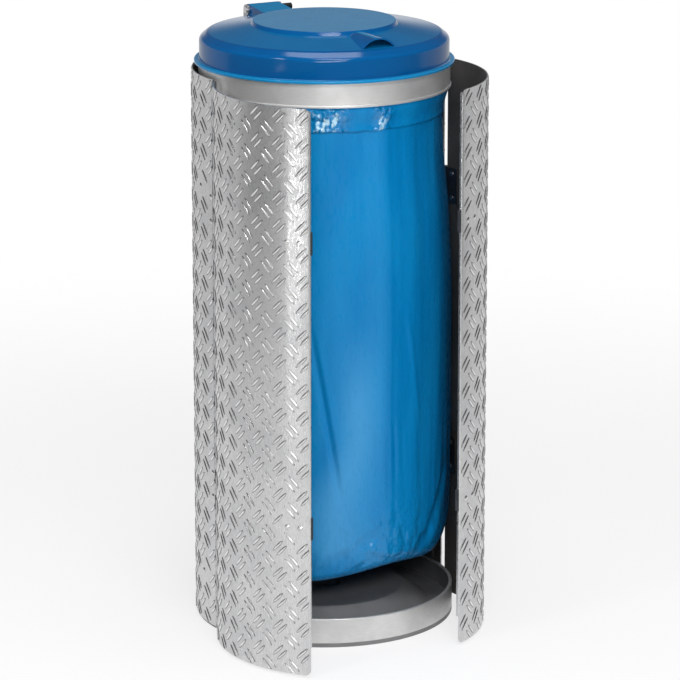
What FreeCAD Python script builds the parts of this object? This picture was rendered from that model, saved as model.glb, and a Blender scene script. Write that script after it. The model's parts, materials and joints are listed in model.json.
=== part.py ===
import FreeCAD, Part
import math
import os

from FreeCAD import Vector

# Round waste-sack stand. Millimetres, Z up, floor at z = 0, axis at x = y = 0, doorway towards -Y.
# Angles are in degrees round the axis, 0 at the middle of the doorway and growing towards +X.

# Sheet body: one fixed back panel and two doors
BODY_R = 215.0
SHEET = 2.0
BODY_FOOT = 4.0
BODY_TOP = 920.0
DOORWAY_HALF_ANGLE = 82.0
HINGE_GAP = 6.4
FRAME_SLOT = 9.5
MEETING_GAP = 4.0
DOOR_RETURN = 6.0
DOOR_CORNER = 10.0
BEND_R = 3.0
LEFT_REST_ANGLE = 44.0
RIGHT_REST_ANGLE = 24.0

# Heights of the door hinges and catches
HARDWARE_LOW = 247.0
HARDWARE_DROP = 212.0

# Door hinges
LEAF_TALL = 60.0
LEAF_LONG = 25.0
LEAF_SHEET = 1.5
KNUCKLE_R = 2.75
KNUCKLE_GAP = 0.4
DOOR_PIN_R = 1.5
DOOR_PIN_HEAD_R = 2.6
DOOR_PIN_HEAD = 1.5
LEAF_RIVET_SPREAD = 20.0

# Magnetic catches on the left door and their strikes on the right door
CATCH_TALL = 36.0
CATCH_LONG = 46.0
MAGNET_LONG = 11.0
MAGNET_DEEP = 6.0
STRIKE_THICK = 1.8
CATCH_FACE_GAP = 0.6
CATCH_RIVET_NEAR = 18.0
CATCH_RIVET_FAR = 40.0

# Rivets
SHANK_R = 2.4
HEAD_R = 4.6
HEAD_TALL = 1.6
TAIL_R = 3.6
TAIL_TALL = 1.2
HOLE_EASE = 0.1
SEAT_EASE = 0.05

# Base tray and the band round it
FOOT_TALL = 7.0
BAND_SHEET = 2.2
BAND_TOP = 48.0
TRAY_WALL = 3.0
TRAY_RIM = 44.0
FOOT_WIDE = 8.0
GUTTER_FLOOR = 14.0
BAND_LIP = 3.3
BAND_LIP_TALL = 3.7
BAND_LIP_ROUND = 1.4
GUTTER_INSET = 43.0
PLATEAU_INSET = 86.0
PLATEAU_TOP = 43.0
PLATEAU_ROUND = 5.0
HUB_R = 23.0
HUB_FLARE = 6.0

# Uprights and the ring that carries the sack
BAR = 3.0
BAR_WIDE = 30.0
UPRIGHT_ANGLE = 96.0
JOGGLE_DROP = 52.2
JOGGLE_TALL = 67.0
RING_INSET = 14.5
RING_TALL = 41.0
RING_RISE = 5.2
UPRIGHT_RIVET_FOOT = 42.0
UPRIGHT_RIVET_DROP = 25.0

# Clamp band round the folded sack
CLAMP_SHEET = 2.0
CLAMP_TALL = 39.6
CLAMP_RISE = 3.0
CLAMP_BEAD = 1.8
CLAMP_BEAD_TALL = 4.2
CLAMP_BEAD_ROUND = 1.2
CLAMP_SPLIT_ANGLE = 152.0
CLAMP_SPLIT_GAP = 6.0
EAR_REACH = 7.6
EAR_TALL = 18.0
SCREW_R = 2.0
SCREW_HEX_R = 3.9
SCREW_HEAD = 3.0
SCREW_SPARE = 2.0

# Sack
FILM = 1.0
CUFF_DROP = 77.0
SACK_FLOOR = 88.0
SACK_INSET = 9.6
FOLD_DEPTH = 2.6
FOLD_COUNT = 6
SACK_POINTS = 30
FINE_FOLD = 0.35
FOLD_TURN = 0.8
WIDE_FOLD = 0.15
WIDE_COUNT = 4
FOLD_PITCH = 90.0
FADE_IN_RINGS = 3
FADE_OUT_RINGS = 2
NECK_SHARE = 0.8
BAG_SHARE = 0.6
SACK_FOOT_SHAPE = [(0.0, 0.66), (0.006, 0.79), (0.02, 0.885), (0.045, 0.945), (0.085, 0.978), (0.2, 1.0),
                   (0.45, 1.0)]
SACK_DRAW_IN = [(0.7, 0.3), (0.86, 0.8)]

# Lid
LID_LIFT = 0.4
LID_FLANGE_INSET = 4.0
LID_FLANGE = 4.0
LID_SKIRT_INSET = 12.5
LID_WALL = 3.0
LID_SKIRT_TALL = 38.0
SHOULDER_IN = 12.5
SHOULDER_RISE = 10.0
DISC_INSET = 99.0
SLOPE_TALL = 60.0
DISC_RISE = 6.0
DISC_EDGE = 3.0
SHOULDER_ROUND = 9.0
GRIP_HALF = 28.0
GRIP_RISE = 13.0
GRIP_TOP = 64.5
GRIP_WALL = 2.4
GRIP_INSET = 20.0
GRIP_POCKET = 31.0

# Lid hinge
PIVOT_RISE = 51.0
LID_PIN_R = 4.0
LID_PIN_HEAD_R = 5.5
LID_PIN_HEAD = 20.0
LID_PIN_TAIL = 1.5
HUMP_R = 9.5
HUMP_WIDE = 57.0
HUMP_RUN = 42.5
BRACKET_WIDE = 22.0
BRACKET_THICK = 3.0
BRACKET_EYE_R = 9.0
FORK_DROP = 26.0
FORK_TALL = 20.0
BRACKET_DROP = 68.0
BRACKET_RIVET_INSET = 14.0
BRACKET_RIVET_DROP = 20.0

# Clearances
RUNNING = 0.05
CLEAR = 0.3
SIDE_PLAY = 0.5
BAND_EASE = 2.0
SPARE = 1.0

# Sizes that follow from the ones above
BODY_IN_R = BODY_R - SHEET
RING_R = BODY_R - RING_INSET
RING_TOP = BODY_TOP + RING_RISE
RING_FOOT = RING_TOP - RING_TALL
JOGGLE_HIGH = RING_FOOT - JOGGLE_DROP
JOGGLE_LOW = JOGGLE_HIGH - JOGGLE_TALL
HARDWARE_HIGH = BODY_TOP - HARDWARE_DROP
BRACKET_FOOT = BODY_TOP - BRACKET_DROP
SACK_R = BODY_R - SACK_INSET
GUTTER_IN_R = BODY_R - GUTTER_INSET
PLATEAU_R = BODY_R - PLATEAU_INSET
LID_FLANGE_R = BODY_R - LID_FLANGE_INSET
LID_SKIRT_R = BODY_R - LID_SKIRT_INSET
DISC_R = BODY_R - DISC_INSET
GRIP_FRONT = LID_SKIRT_R - GRIP_INSET
HUMP_FRONT = LID_SKIRT_R - HUMP_RUN
FORK_IN = HUMP_WIDE / 2 + SIDE_PLAY
FORK_OUT = FORK_IN + BRACKET_THICK
STRAP_IN_Y = BODY_R + SEAT_EASE
PIVOT_Y = STRAP_IN_Y + BRACKET_THICK / 2
HINGE_R = BODY_R - SHEET / 2
LEAF_IN_R = BODY_IN_R - LEAF_SHEET
LINING_R = BODY_IN_R - CLEAR
BAND_IN_R = LINING_R - BAND_SHEET
RING_IN_R = RING_R - BAR
FILM_IN_R = RING_IN_R - CLEAR - FILM
CUFF_IN_R = RING_R + CLEAR
CUFF_R = CUFF_IN_R + FILM
CUFF_TOP = RING_TOP + CLEAR + FILM
CLAMP_IN_R = CUFF_R + CLEAR
CLAMP_R = CLAMP_IN_R + CLAMP_SHEET
CLAMP_TOP = CUFF_TOP + CLAMP_RISE
CLAMP_LOW = CLAMP_TOP - CLAMP_TALL
LID_SEAT = CLAMP_TOP + LID_LIFT
PIVOT_Z = LID_SEAT + PIVOT_RISE
FORK_TOP = PIVOT_Z - FORK_DROP
CATCH_HEIGHTS = (HARDWARE_LOW, HARDWARE_HIGH)
REST = {-1: LEFT_REST_ANGLE, 1: RIGHT_REST_ANGLE}
SIDE_NAMES = {-1: "left", 1: "right"}
LEVELS = {"lower": HARDWARE_LOW, "upper": HARDWARE_HIGH}
BACK_ANGLE = 180.0
UP = Vector(0, 0, 1)
ACROSS = Vector(1, 0, 0)
ALONG = Vector(0, 1, 0)
ORIGIN = Vector(0, 0, 0)


def spot(radius, angle, z):
    turn = math.radians(angle)
    return Vector(radius * math.sin(turn), -radius * math.cos(turn), z)


def degrees_of(length, radius):
    return math.degrees(length / radius)


def rounded_wire(outline):
    edges = []
    legs = []
    for i, corner in enumerate(outline):
        here = Vector(corner[0], 0, corner[1])
        rounding = corner[2] if len(corner) > 2 else 0.0
        before = Vector(outline[i - 1][0], 0, outline[i - 1][1])
        after = outline[(i + 1) % len(outline)]
        back = (before - here).normalize()
        onward = (Vector(after[0], 0, after[1]) - here).normalize()
        if not rounding:
            legs.append((here, here))
            continue
        half = back.getAngle(onward) / 2
        reach = rounding / math.tan(half)
        middle = here + (back + onward).normalize() * (rounding / math.sin(half) - rounding)
        legs.append((here + back * reach, here + onward * reach))
        edges.append(Part.Arc(legs[-1][0], middle, legs[-1][1]).toShape())
    for i, leg in enumerate(legs):
        edges.append(Part.LineSegment(leg[1], legs[(i + 1) % len(legs)][0]).toShape())
    return Part.Wire(Part.__sortEdges__(edges))


def turned(outline, start=0.0, end=360.0):
    solid = Part.Face(rounded_wire(outline)).revolve(ORIGIN, UP, end - start)
    solid.rotate(ORIGIN, UP, start - 90.0)
    return solid


def strip(r_in, r_out, start, end, low, high):
    low_angle = min(start, end)
    high_angle = max(start, end)
    return turned([(r_in, low), (r_out, low), (r_out, high), (r_in, high)], low_angle, high_angle)


def upright_edges(shape, r, angle):
    place = spot(r, angle, 0)
    found = []
    for edge in shape.Edges:
        ends = [vertex.Point for vertex in edge.Vertexes]
        if len(ends) == 2 and all(math.hypot(p.x - place.x, p.y - place.y) < 0.01 for p in ends):
            found.append(edge)
    return found


def hex_prism(radius, height, base, direction):
    turns = [math.radians(60.0 * i) for i in range(7)]
    corners = [Vector(radius * math.cos(turn), radius * math.sin(turn), 0) for turn in turns]
    prism = Part.Face(Part.makePolygon(corners)).extrude(Vector(0, 0, height))
    prism.Placement = FreeCAD.Placement(base, FreeCAD.Rotation(UP, direction))
    return prism


# Rivets and their holes
def rivet(angle, z, tail_at, head_at):
    out = spot(1.0, angle, 0)
    bearing = tail_at - SEAT_EASE
    tail = Part.makeCylinder(TAIL_R, TAIL_TALL, spot(bearing - TAIL_TALL, angle, z), out)
    shank = Part.makeCylinder(SHANK_R, head_at - bearing, spot(bearing, angle, z), out)
    head = Part.makeCone(HEAD_R, HEAD_R / 2, HEAD_TALL, spot(head_at, angle, z), out)
    return tail.fuse([shank, head])


def drilled(shape, places):
    holes = [Part.makeCylinder(SHANK_R + HOLE_EASE, BODY_R, spot(BODY_R / 2, angle, z), spot(1.0, angle, 0))
             for angle, z in places]
    return shape.cut(holes) if holes else shape


def leaf_places(side, on_door):
    away = -side if on_door else side
    angle = side * DOORWAY_HALF_ANGLE + away * degrees_of(HINGE_GAP / 2 + LEAF_LONG / 2, BODY_R)
    spread = (-LEAF_RIVET_SPREAD, LEAF_RIVET_SPREAD)
    return [(angle, level + away) for level in CATCH_HEIGHTS for away in spread]


def catch_places(side):
    reaches = (MEETING_GAP / 2 + CATCH_RIVET_NEAR, MEETING_GAP / 2 + CATCH_RIVET_FAR)
    return [(side * degrees_of(reach, BODY_R), level) for level in CATCH_HEIGHTS for reach in reaches]


def upright_places():
    heights = (BAND_TOP + UPRIGHT_RIVET_FOOT, JOGGLE_LOW - UPRIGHT_RIVET_DROP)
    return [(angle, z) for angle in (-UPRIGHT_ANGLE, UPRIGHT_ANGLE, BACK_ANGLE) for z in heights]


def bracket_places():
    return [(BACK_ANGLE, BRACKET_FOOT + BRACKET_RIVET_INSET), (BACK_ANGLE, BODY_TOP - BRACKET_RIVET_DROP)]


# Base
def make_base_tray():
    foot_in = BAND_IN_R - FOOT_WIDE
    wall_r = BAND_IN_R - CLEAR
    outline = [
        (0, 0),
        (HUB_R, 0),
        (HUB_R + HUB_FLARE, PLATEAU_TOP - TRAY_WALL),
        (PLATEAU_R - TRAY_WALL, PLATEAU_TOP - TRAY_WALL),
        (GUTTER_IN_R - TRAY_WALL, GUTTER_FLOOR - TRAY_WALL),
        (foot_in, GUTTER_FLOOR - TRAY_WALL),
        (foot_in, 0),
        (LINING_R, 0),
        (LINING_R, FOOT_TALL),
        (wall_r, FOOT_TALL),
        (wall_r, TRAY_RIM),
        (wall_r - TRAY_WALL, TRAY_RIM),
        (wall_r - TRAY_WALL, GUTTER_FLOOR),
        (GUTTER_IN_R, GUTTER_FLOOR),
        (PLATEAU_R, PLATEAU_TOP, PLATEAU_ROUND),
        (HUB_R + HUB_FLARE - TRAY_WALL, PLATEAU_TOP),
        (HUB_R - TRAY_WALL, TRAY_WALL),
        (0, TRAY_WALL),
    ]
    return turned(outline)


def make_base_band():
    lip_low = BAND_TOP - BAND_LIP_TALL
    return turned([
        (BAND_IN_R, FOOT_TALL),
        (LINING_R, FOOT_TALL),
        (LINING_R, BAND_TOP, BAND_LIP_ROUND),
        (BAND_IN_R - BAND_LIP, BAND_TOP, BAND_LIP_ROUND),
        (BAND_IN_R - BAND_LIP, lip_low, BAND_LIP_ROUND),
        (BAND_IN_R, lip_low),
    ])


# Frame
def make_upright(angle):
    half = degrees_of(BAR_WIDE / 2, LINING_R)
    outline = [
        (LINING_R - BAR, BAND_TOP),
        (LINING_R, BAND_TOP),
        (LINING_R, JOGGLE_LOW),
        (RING_R, JOGGLE_HIGH),
        (RING_R, RING_FOOT),
        (RING_IN_R, RING_FOOT),
        (RING_IN_R, JOGGLE_HIGH - BAR / 4),
        (LINING_R - BAR, JOGGLE_LOW - BAR / 4),
    ]
    return drilled(turned(outline, angle - half, angle + half), upright_places())


def make_carrier_ring():
    return strip(RING_IN_R, RING_R, 0, 360, RING_FOOT, RING_TOP)


def ear_angles(side):
    near = CLAMP_SPLIT_ANGLE + side * degrees_of(CLAMP_SPLIT_GAP / 2, CLAMP_R)
    far = near + side * degrees_of(CLAMP_SHEET, CLAMP_R)
    return near, far


def screw_line():
    middle = (CLAMP_TOP + CLAMP_LOW) / 2
    centre = spot(CLAMP_R + EAR_REACH / 2 + CLEAR, CLAMP_SPLIT_ANGLE, middle)
    return centre, spot(1.0, CLAMP_SPLIT_ANGLE + 90.0, 0)


def make_clamp_band():
    start = ear_angles(1)[0]
    end = ear_angles(-1)[0] + 360.0
    bead_top = CLAMP_LOW + CLAMP_BEAD_TALL
    band = turned([
        (CLAMP_IN_R, CLAMP_LOW),
        (CLAMP_R + CLAMP_BEAD, CLAMP_LOW, CLAMP_BEAD_ROUND),
        (CLAMP_R + CLAMP_BEAD, bead_top, CLAMP_BEAD_ROUND),
        (CLAMP_R, bead_top),
        (CLAMP_R, CLAMP_TOP),
        (CLAMP_IN_R, CLAMP_TOP),
    ], start, end)
    middle = (CLAMP_TOP + CLAMP_LOW) / 2
    for side in (-1, 1):
        near, far = ear_angles(side)
        foot = middle - EAR_TALL / 2
        ear = strip(CLAMP_IN_R, CLAMP_R + EAR_REACH, near, far, foot, foot + EAR_TALL)
        band = band.fuse(ear)
    centre, along = screw_line()
    reach = CLAMP_SPLIT_GAP / 2 + 2 * CLAMP_SHEET
    hole = Part.makeCylinder(SCREW_R + HOLE_EASE, 2 * reach, centre - along * reach, along)
    return band.cut(hole).removeSplitter()


def make_clamp_screw():
    centre, along = screw_line()
    reach = CLAMP_SPLIT_GAP / 2 + CLAMP_SHEET + CLEAR
    head = hex_prism(SCREW_HEX_R, SCREW_HEAD, centre - along * (reach + SCREW_HEAD), along)
    length = 2 * reach + SCREW_HEAD + SCREW_SPARE
    return head.fuse(Part.makeCylinder(SCREW_R, length, centre - along * reach, along))


def make_clamp_nut():
    centre, along = screw_line()
    reach = CLAMP_SPLIT_GAP / 2 + CLAMP_SHEET + CLEAR
    nut = hex_prism(SCREW_HEX_R, SCREW_HEAD, centre + along * reach, along)
    return nut.cut(Part.makeCylinder(SCREW_R, 2 * reach, centre, along))


# Sack: it comes up inside the ring, folds over it and hangs down outside under the clamp band
def sack_levels():
    tall = RING_FOOT - SACK_FLOOR
    neck = FILM_IN_R + NECK_SHARE * FILM
    levels = [(SACK_FLOOR + share * tall, SACK_R * width) for share, width in SACK_FOOT_SHAPE]
    waist = SACK_R - neck
    levels += [(SACK_FLOOR + share * tall, SACK_R - drawn * waist) for share, drawn in SACK_DRAW_IN]
    return levels + [(JOGGLE_HIGH + BAR, neck), (RING_FOOT, neck)]


def sack_ring(z, radius, fold):
    points = []
    for i in range(SACK_POINTS):
        angle = 360.0 * i / SACK_POINTS
        turn = math.radians(angle)
        fine = FINE_FOLD * math.cos(FOLD_COUNT * turn + FOLD_TURN)
        wide = WIDE_FOLD * math.cos(WIDE_COUNT * turn + z / FOLD_PITCH)
        wave = FINE_FOLD + WIDE_FOLD - fine - wide
        points.append(spot(radius - fold * wave, angle, z))
    curve = Part.BSplineCurve()
    curve.interpolate(points, PeriodicFlag=True)
    return Part.Wire(curve.toShape())


def sack_core(inset):
    rings = []
    levels = sack_levels()
    last = len(levels) - 1
    for i, (z, radius) in enumerate(levels):
        fold = FOLD_DEPTH * max(0.0, min(1.0, i / FADE_IN_RINGS, (last - 1 - i) / FADE_OUT_RINGS))
        lift = inset if i == 0 else 0.0
        rings.append(sack_ring(z + lift, radius - inset, fold))
    return Part.makeLoft(rings, True, False)


def make_waste_sack():
    fold_low = RING_TOP + CLEAR
    collar = turned([
        (FILM_IN_R, RING_FOOT),
        (FILM_IN_R + FILM, RING_FOOT),
        (FILM_IN_R + FILM, fold_low),
        (CUFF_IN_R, fold_low),
        (CUFF_IN_R, CUFF_TOP - CUFF_DROP),
        (CUFF_R, CUFF_TOP - CUFF_DROP),
        (CUFF_R, CUFF_TOP),
        (FILM_IN_R, CUFF_TOP),
    ])
    bag = sack_core(0.0).cut(sack_core(BAG_SHARE * FILM))
    return bag.fuse(collar)


# Back panel
def make_back_panel():
    edge = DOORWAY_HALF_ANGLE + degrees_of(FRAME_SLOT, HINGE_R)
    panel = strip(BODY_IN_R, BODY_R, edge, 360.0 - edge, BODY_FOOT, BODY_TOP)
    places = upright_places() + bracket_places()
    for side in (-1, 1):
        places += leaf_places(side, False)
    return drilled(panel, places)


def make_panel_rivets():
    return Part.makeCompound([rivet(angle, z, LINING_R - BAR, BODY_R) for angle, z in upright_places()])


# Doors, built shut and then swung to where they stand
def hinge_foot(side):
    return spot(HINGE_R, side * DOORWAY_HALF_ANGLE, 0)


def swung(shape, side):
    shape.rotate(hinge_foot(side), UP, side * REST[side])
    return shape


def corner_cutter(side, z_centre, upward):
    reach = DOOR_CORNER + SPARE
    depth = DOOR_RETURN + SPARE
    x_centre = side * (MEETING_GAP / 2 + DOOR_CORNER)
    x_low = min(x_centre, x_centre - side * reach)
    z_low = min(z_centre, z_centre + upward * reach)
    y_low = -BODY_R - SPARE / 2
    block = Part.makeBox(reach, depth, reach, Vector(x_low, y_low, z_low))
    post = Part.makeCylinder(DOOR_CORNER, depth, Vector(x_centre, y_low, z_centre), ALONG)
    return block.cut(post)


def make_door(side):
    hinge_edge = side * (DOORWAY_HALF_ANGLE - degrees_of(HINGE_GAP / 2, HINGE_R))
    free_edge = side * degrees_of(MEETING_GAP / 2, BODY_R)
    return_end = free_edge + side * degrees_of(SHEET, BODY_IN_R)
    sheet = strip(BODY_IN_R, BODY_R, hinge_edge, free_edge, BODY_FOOT, BODY_TOP)
    lip = strip(BODY_R - DOOR_RETURN, BODY_R, free_edge, return_end, BODY_FOOT, BODY_TOP)
    door = sheet.fuse(lip).removeSplitter()
    door = door.makeFillet(BEND_R, upright_edges(door, BODY_R, free_edge))
    door = door.makeFillet(BEND_R - SHEET, upright_edges(door, BODY_IN_R, return_end))
    upper = corner_cutter(side, BODY_TOP - DOOR_CORNER, 1)
    lower = corner_cutter(side, BODY_FOOT + DOOR_CORNER, -1)
    door = door.cut([upper, lower])
    half = CATCH_TALL / 2 + CLEAR
    notches = [(level - half, level + half) for level in CATCH_HEIGHTS]
    notches.append((0, BAND_TOP + BAND_EASE))
    for low, high in notches:
        door = door.cut(strip(BODY_R - DOOR_RETURN - SHEET, BODY_IN_R, 0, 2 * return_end, low, high))
    return swung(drilled(door, leaf_places(side, True) + catch_places(side)), side)


# Door hinges: the frame leaf has the outer knuckles and the door leaf the middle one
def knuckle_spans(level, on_door):
    low = level - LEAF_TALL / 2
    third = LEAF_TALL / 3
    play = KNUCKLE_GAP / 2
    if on_door:
        return [(low + third + play, low + 2 * third - play)]
    return [(low, low + third - play), (low + 2 * third + play, low + LEAF_TALL)]


def axis_cylinder(side, radius, low, high):
    base = hinge_foot(side) + UP * low
    return Part.makeCylinder(radius, high - low, base)


def make_leaf(side, level, on_door):
    away = -side if on_door else side
    start = side * DOORWAY_HALF_ANGLE
    end = start + away * degrees_of(HINGE_GAP / 2 + LEAF_LONG, HINGE_R)
    low = level - LEAF_TALL / 2
    leaf = strip(LEAF_IN_R, BODY_IN_R, start, end, low, low + LEAF_TALL)
    for span_low, span_high in knuckle_spans(level, not on_door):
        room = axis_cylinder(side, KNUCKLE_R + CLEAR, span_low - KNUCKLE_GAP, span_high + KNUCKLE_GAP)
        leaf = leaf.cut(room)
    for span_low, span_high in knuckle_spans(level, on_door):
        leaf = leaf.fuse(axis_cylinder(side, KNUCKLE_R, span_low, span_high))
    leaf = leaf.cut(axis_cylinder(side, DOOR_PIN_R + RUNNING, low - SPARE, low + LEAF_TALL + SPARE))
    leaf = drilled(leaf, leaf_places(side, on_door))
    return swung(leaf, side) if on_door else leaf


def make_door_pin(side, level):
    low = level - LEAF_TALL / 2 - RUNNING
    high = level + LEAF_TALL / 2 + RUNNING
    pin = axis_cylinder(side, DOOR_PIN_R, low, high)
    ends = [axis_cylinder(side, DOOR_PIN_HEAD_R, low - DOOR_PIN_HEAD, low)]
    ends.append(axis_cylinder(side, DOOR_PIN_HEAD_R, high, high + DOOR_PIN_HEAD))
    return pin.fuse(ends)


def make_leaf_rivets(side, on_door):
    places = leaf_places(side, on_door)
    return Part.makeCompound([rivet(angle, z, LEAF_IN_R, BODY_R) for angle, z in places])


# Catches: a magnet in a housing on the left door meets an angle plate on the right door
def make_catch(side, level):
    face = side * degrees_of(CATCH_FACE_GAP / 2, BODY_IN_R)
    plate_end = side * degrees_of(MEETING_GAP / 2 + CATCH_LONG, BODY_IN_R)
    seat_r = BODY_IN_R - SEAT_EASE
    low = level - CATCH_TALL / 2
    high = level + CATCH_TALL / 2
    plate = strip(seat_r - LEAF_SHEET, seat_r, face, plate_end, low, high)
    reach = MAGNET_LONG if side < 0 else STRIKE_THICK
    block_end = face + side * degrees_of(reach, BODY_IN_R)
    block = strip(BODY_IN_R - MAGNET_DEEP, seat_r, face, block_end, low, high)
    catch = plate.fuse(block).removeSplitter()
    return swung(drilled(catch, catch_places(side)), side)


def make_catch_rivets(side):
    tail_at = BODY_IN_R - SEAT_EASE - LEAF_SHEET
    rivets = [rivet(angle, z, tail_at, BODY_R) for angle, z in catch_places(side)]
    return swung(Part.makeCompound(rivets), side)


# Lid: one moulding with a flange, a skirt, a raised disc, a hooded grip and a hinge hump
def lid_outer():
    shoulder = LID_SEAT + LID_SKIRT_TALL
    disc_top = LID_SEAT + SLOPE_TALL + DISC_RISE
    return turned([
        (0, LID_SEAT),
        (LID_FLANGE_R, LID_SEAT),
        (LID_FLANGE_R, LID_SEAT + LID_FLANGE, LID_FLANGE / 3),
        (LID_SKIRT_R, LID_SEAT + LID_FLANGE, LID_FLANGE / 3),
        (LID_SKIRT_R, shoulder, SHOULDER_ROUND),
        (LID_SKIRT_R - SHOULDER_IN, shoulder + SHOULDER_RISE, SHOULDER_ROUND),
        (DISC_R + DISC_EDGE, LID_SEAT + SLOPE_TALL),
        (DISC_R, disc_top, DISC_EDGE / 2),
        (0, disc_top),
    ])


def lid_cavity():
    shoulder = LID_SEAT + LID_SKIRT_TALL - LID_WALL / 3
    skirt_in = LID_SKIRT_R - LID_WALL
    slope_in = LID_SKIRT_R - SHOULDER_IN - LID_WALL / 3
    under_slope = LID_SEAT + SLOPE_TALL - LID_WALL
    return turned([
        (0, LID_SEAT - LID_WALL),
        (skirt_in, LID_SEAT - LID_WALL),
        (skirt_in, shoulder - LID_WALL / 3, SHOULDER_ROUND - LID_WALL),
        (slope_in, shoulder + SHOULDER_RISE - LID_WALL),
        (DISC_R + DISC_EDGE - LID_WALL, under_slope),
        (DISC_R - LID_WALL, under_slope + DISC_RISE),
        (0, under_slope + DISC_RISE),
    ])


def grip_hood(body):
    arch_r = (GRIP_HALF ** 2 + GRIP_RISE ** 2) / (2 * GRIP_RISE)
    centre_z = LID_SEAT + GRIP_TOP - arch_r
    hood = Part.makeCylinder(arch_r, GRIP_FRONT - DISC_R, Vector(0, -GRIP_FRONT, centre_z), ALONG)
    mouth = Vector(0, -GRIP_FRONT - SPARE, centre_z)
    pocket = Part.makeCylinder(arch_r - GRIP_WALL, GRIP_POCKET + SPARE, mouth, ALONG)
    return hood.common(above(LID_SEAT + LID_FLANGE)).cut(pocket.cut(body))


def above(z):
    size = 3 * BODY_R
    return Part.makeBox(size, size, size, Vector(-size / 2, -size / 2, z))


def hump():
    slope_z = LID_SEAT + SLOPE_TALL - (HUMP_FRONT - DISC_R) * SHOULDER_RISE / (LID_SKIRT_R - DISC_R)
    corners = [
        (HUMP_FRONT, slope_z),
        (PIVOT_Y, PIVOT_Z + HUMP_R),
        (PIVOT_Y, PIVOT_Z - HUMP_R),
        (LID_SKIRT_R - LID_WALL, LID_SEAT + LID_SKIRT_TALL / 2),
        (HUMP_FRONT, LID_SEAT + LID_SKIRT_TALL / 2),
    ]
    points = [Vector(-HUMP_WIDE / 2, y, z) for y, z in corners]
    arm = Part.Face(Part.makePolygon(points + points[:1])).extrude(Vector(HUMP_WIDE, 0, 0))
    return arm.fuse(Part.makeCylinder(HUMP_R, HUMP_WIDE, Vector(-HUMP_WIDE / 2, PIVOT_Y, PIVOT_Z), ACROSS))


def pin_bore():
    return Part.makeCylinder(LID_PIN_R + RUNNING, 2 * HUMP_WIDE, Vector(-HUMP_WIDE, PIVOT_Y, PIVOT_Z), ACROSS)


def make_lid():
    body = lid_outer()
    lid = body.fuse([grip_hood(body), hump()])
    return lid.cut([lid_cavity(), pin_bore()]).removeSplitter()


# Fork that holds the lid: a strap on the back panel, a cross piece and two ears with eyes
def fork_ear(x_low):
    deep = PIVOT_Y - STRAP_IN_Y + BRACKET_EYE_R
    foot = FORK_TOP - FORK_TALL
    arm = Part.makeBox(BRACKET_THICK, deep, PIVOT_Z - foot, Vector(x_low, STRAP_IN_Y, foot))
    return arm.fuse(Part.makeCylinder(BRACKET_EYE_R, BRACKET_THICK, Vector(x_low, PIVOT_Y, PIVOT_Z), ACROSS))


def make_lid_bracket():
    foot = Vector(-BRACKET_WIDE / 2, STRAP_IN_Y, BRACKET_FOOT)
    strap = Part.makeBox(BRACKET_WIDE, BRACKET_THICK, FORK_TOP - BRACKET_FOOT, foot)
    cross_foot = Vector(-FORK_OUT, STRAP_IN_Y, FORK_TOP - FORK_TALL)
    cross = Part.makeBox(2 * FORK_OUT, BRACKET_THICK, FORK_TALL, cross_foot)
    fork = strap.fuse([cross, fork_ear(-FORK_OUT), fork_ear(FORK_IN)])
    return drilled(fork.cut(pin_bore()).removeSplitter(), bracket_places())


def make_lid_bracket_rivets():
    head_at = STRAP_IN_Y + BRACKET_THICK
    return Part.makeCompound([rivet(angle, z, BODY_IN_R, head_at) for angle, z in bracket_places()])


def make_lid_pin():
    end = FORK_OUT + CLEAR
    pin = Part.makeCylinder(LID_PIN_R, 2 * end, Vector(-end, PIVOT_Y, PIVOT_Z), ACROSS)
    head = Part.makeCylinder(LID_PIN_HEAD_R, LID_PIN_HEAD, Vector(end, PIVOT_Y, PIVOT_Z), ACROSS)
    tail_end = Vector(-end - LID_PIN_TAIL, PIVOT_Y, PIVOT_Z)
    tail = Part.makeCylinder(LID_PIN_HEAD_R, LID_PIN_TAIL, tail_end, ACROSS)
    return pin.fuse([head, tail])


def all_pieces():
    pieces = {
        "base_tray": make_base_tray(),
        "base_band": make_base_band(),
        "left_upright": make_upright(-UPRIGHT_ANGLE),
        "right_upright": make_upright(UPRIGHT_ANGLE),
        "back_upright": make_upright(BACK_ANGLE),
        "carrier_ring": make_carrier_ring(),
        "clamp_band": make_clamp_band(),
        "clamp_screw": make_clamp_screw(),
        "clamp_nut": make_clamp_nut(),
        "waste_sack": make_waste_sack(),
        "back_panel": make_back_panel(),
        "panel_rivets": make_panel_rivets(),
        "lid": make_lid(),
        "lid_bracket": make_lid_bracket(),
        "lid_bracket_rivets": make_lid_bracket_rivets(),
        "lid_pin": make_lid_pin(),
    }
    for side, name in SIDE_NAMES.items():
        pieces[name + "_door"] = make_door(side)
        pieces[name + "_frame_leaf_rivets"] = make_leaf_rivets(side, False)
        pieces[name + "_door_leaf_rivets"] = swung(make_leaf_rivets(side, True), side)
        pieces[name + "_catch_rivets"] = make_catch_rivets(side)
        for place, level in LEVELS.items():
            pieces[name + "_" + place + "_frame_leaf"] = make_leaf(side, level, False)
            pieces[name + "_" + place + "_door_leaf"] = make_leaf(side, level, True)
            pieces[name + "_" + place + "_hinge_pin"] = make_door_pin(side, level)
            catch_name = "magnet_catch" if side < 0 else "strike_plate"
            pieces[place + "_" + catch_name] = make_catch(side, level)
    return pieces


os.makedirs("parts", exist_ok=True)
for name, shape in all_pieces().items():
    print(name, len(shape.Solids), "solid(s), valid" if shape.isValid() else "solid(s), NOT valid")
    shape.exportStep("parts/" + name + ".step")
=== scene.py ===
import json
import math

import bpy
import numpy as np
from mathutils import Matrix, Vector, noise


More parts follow.
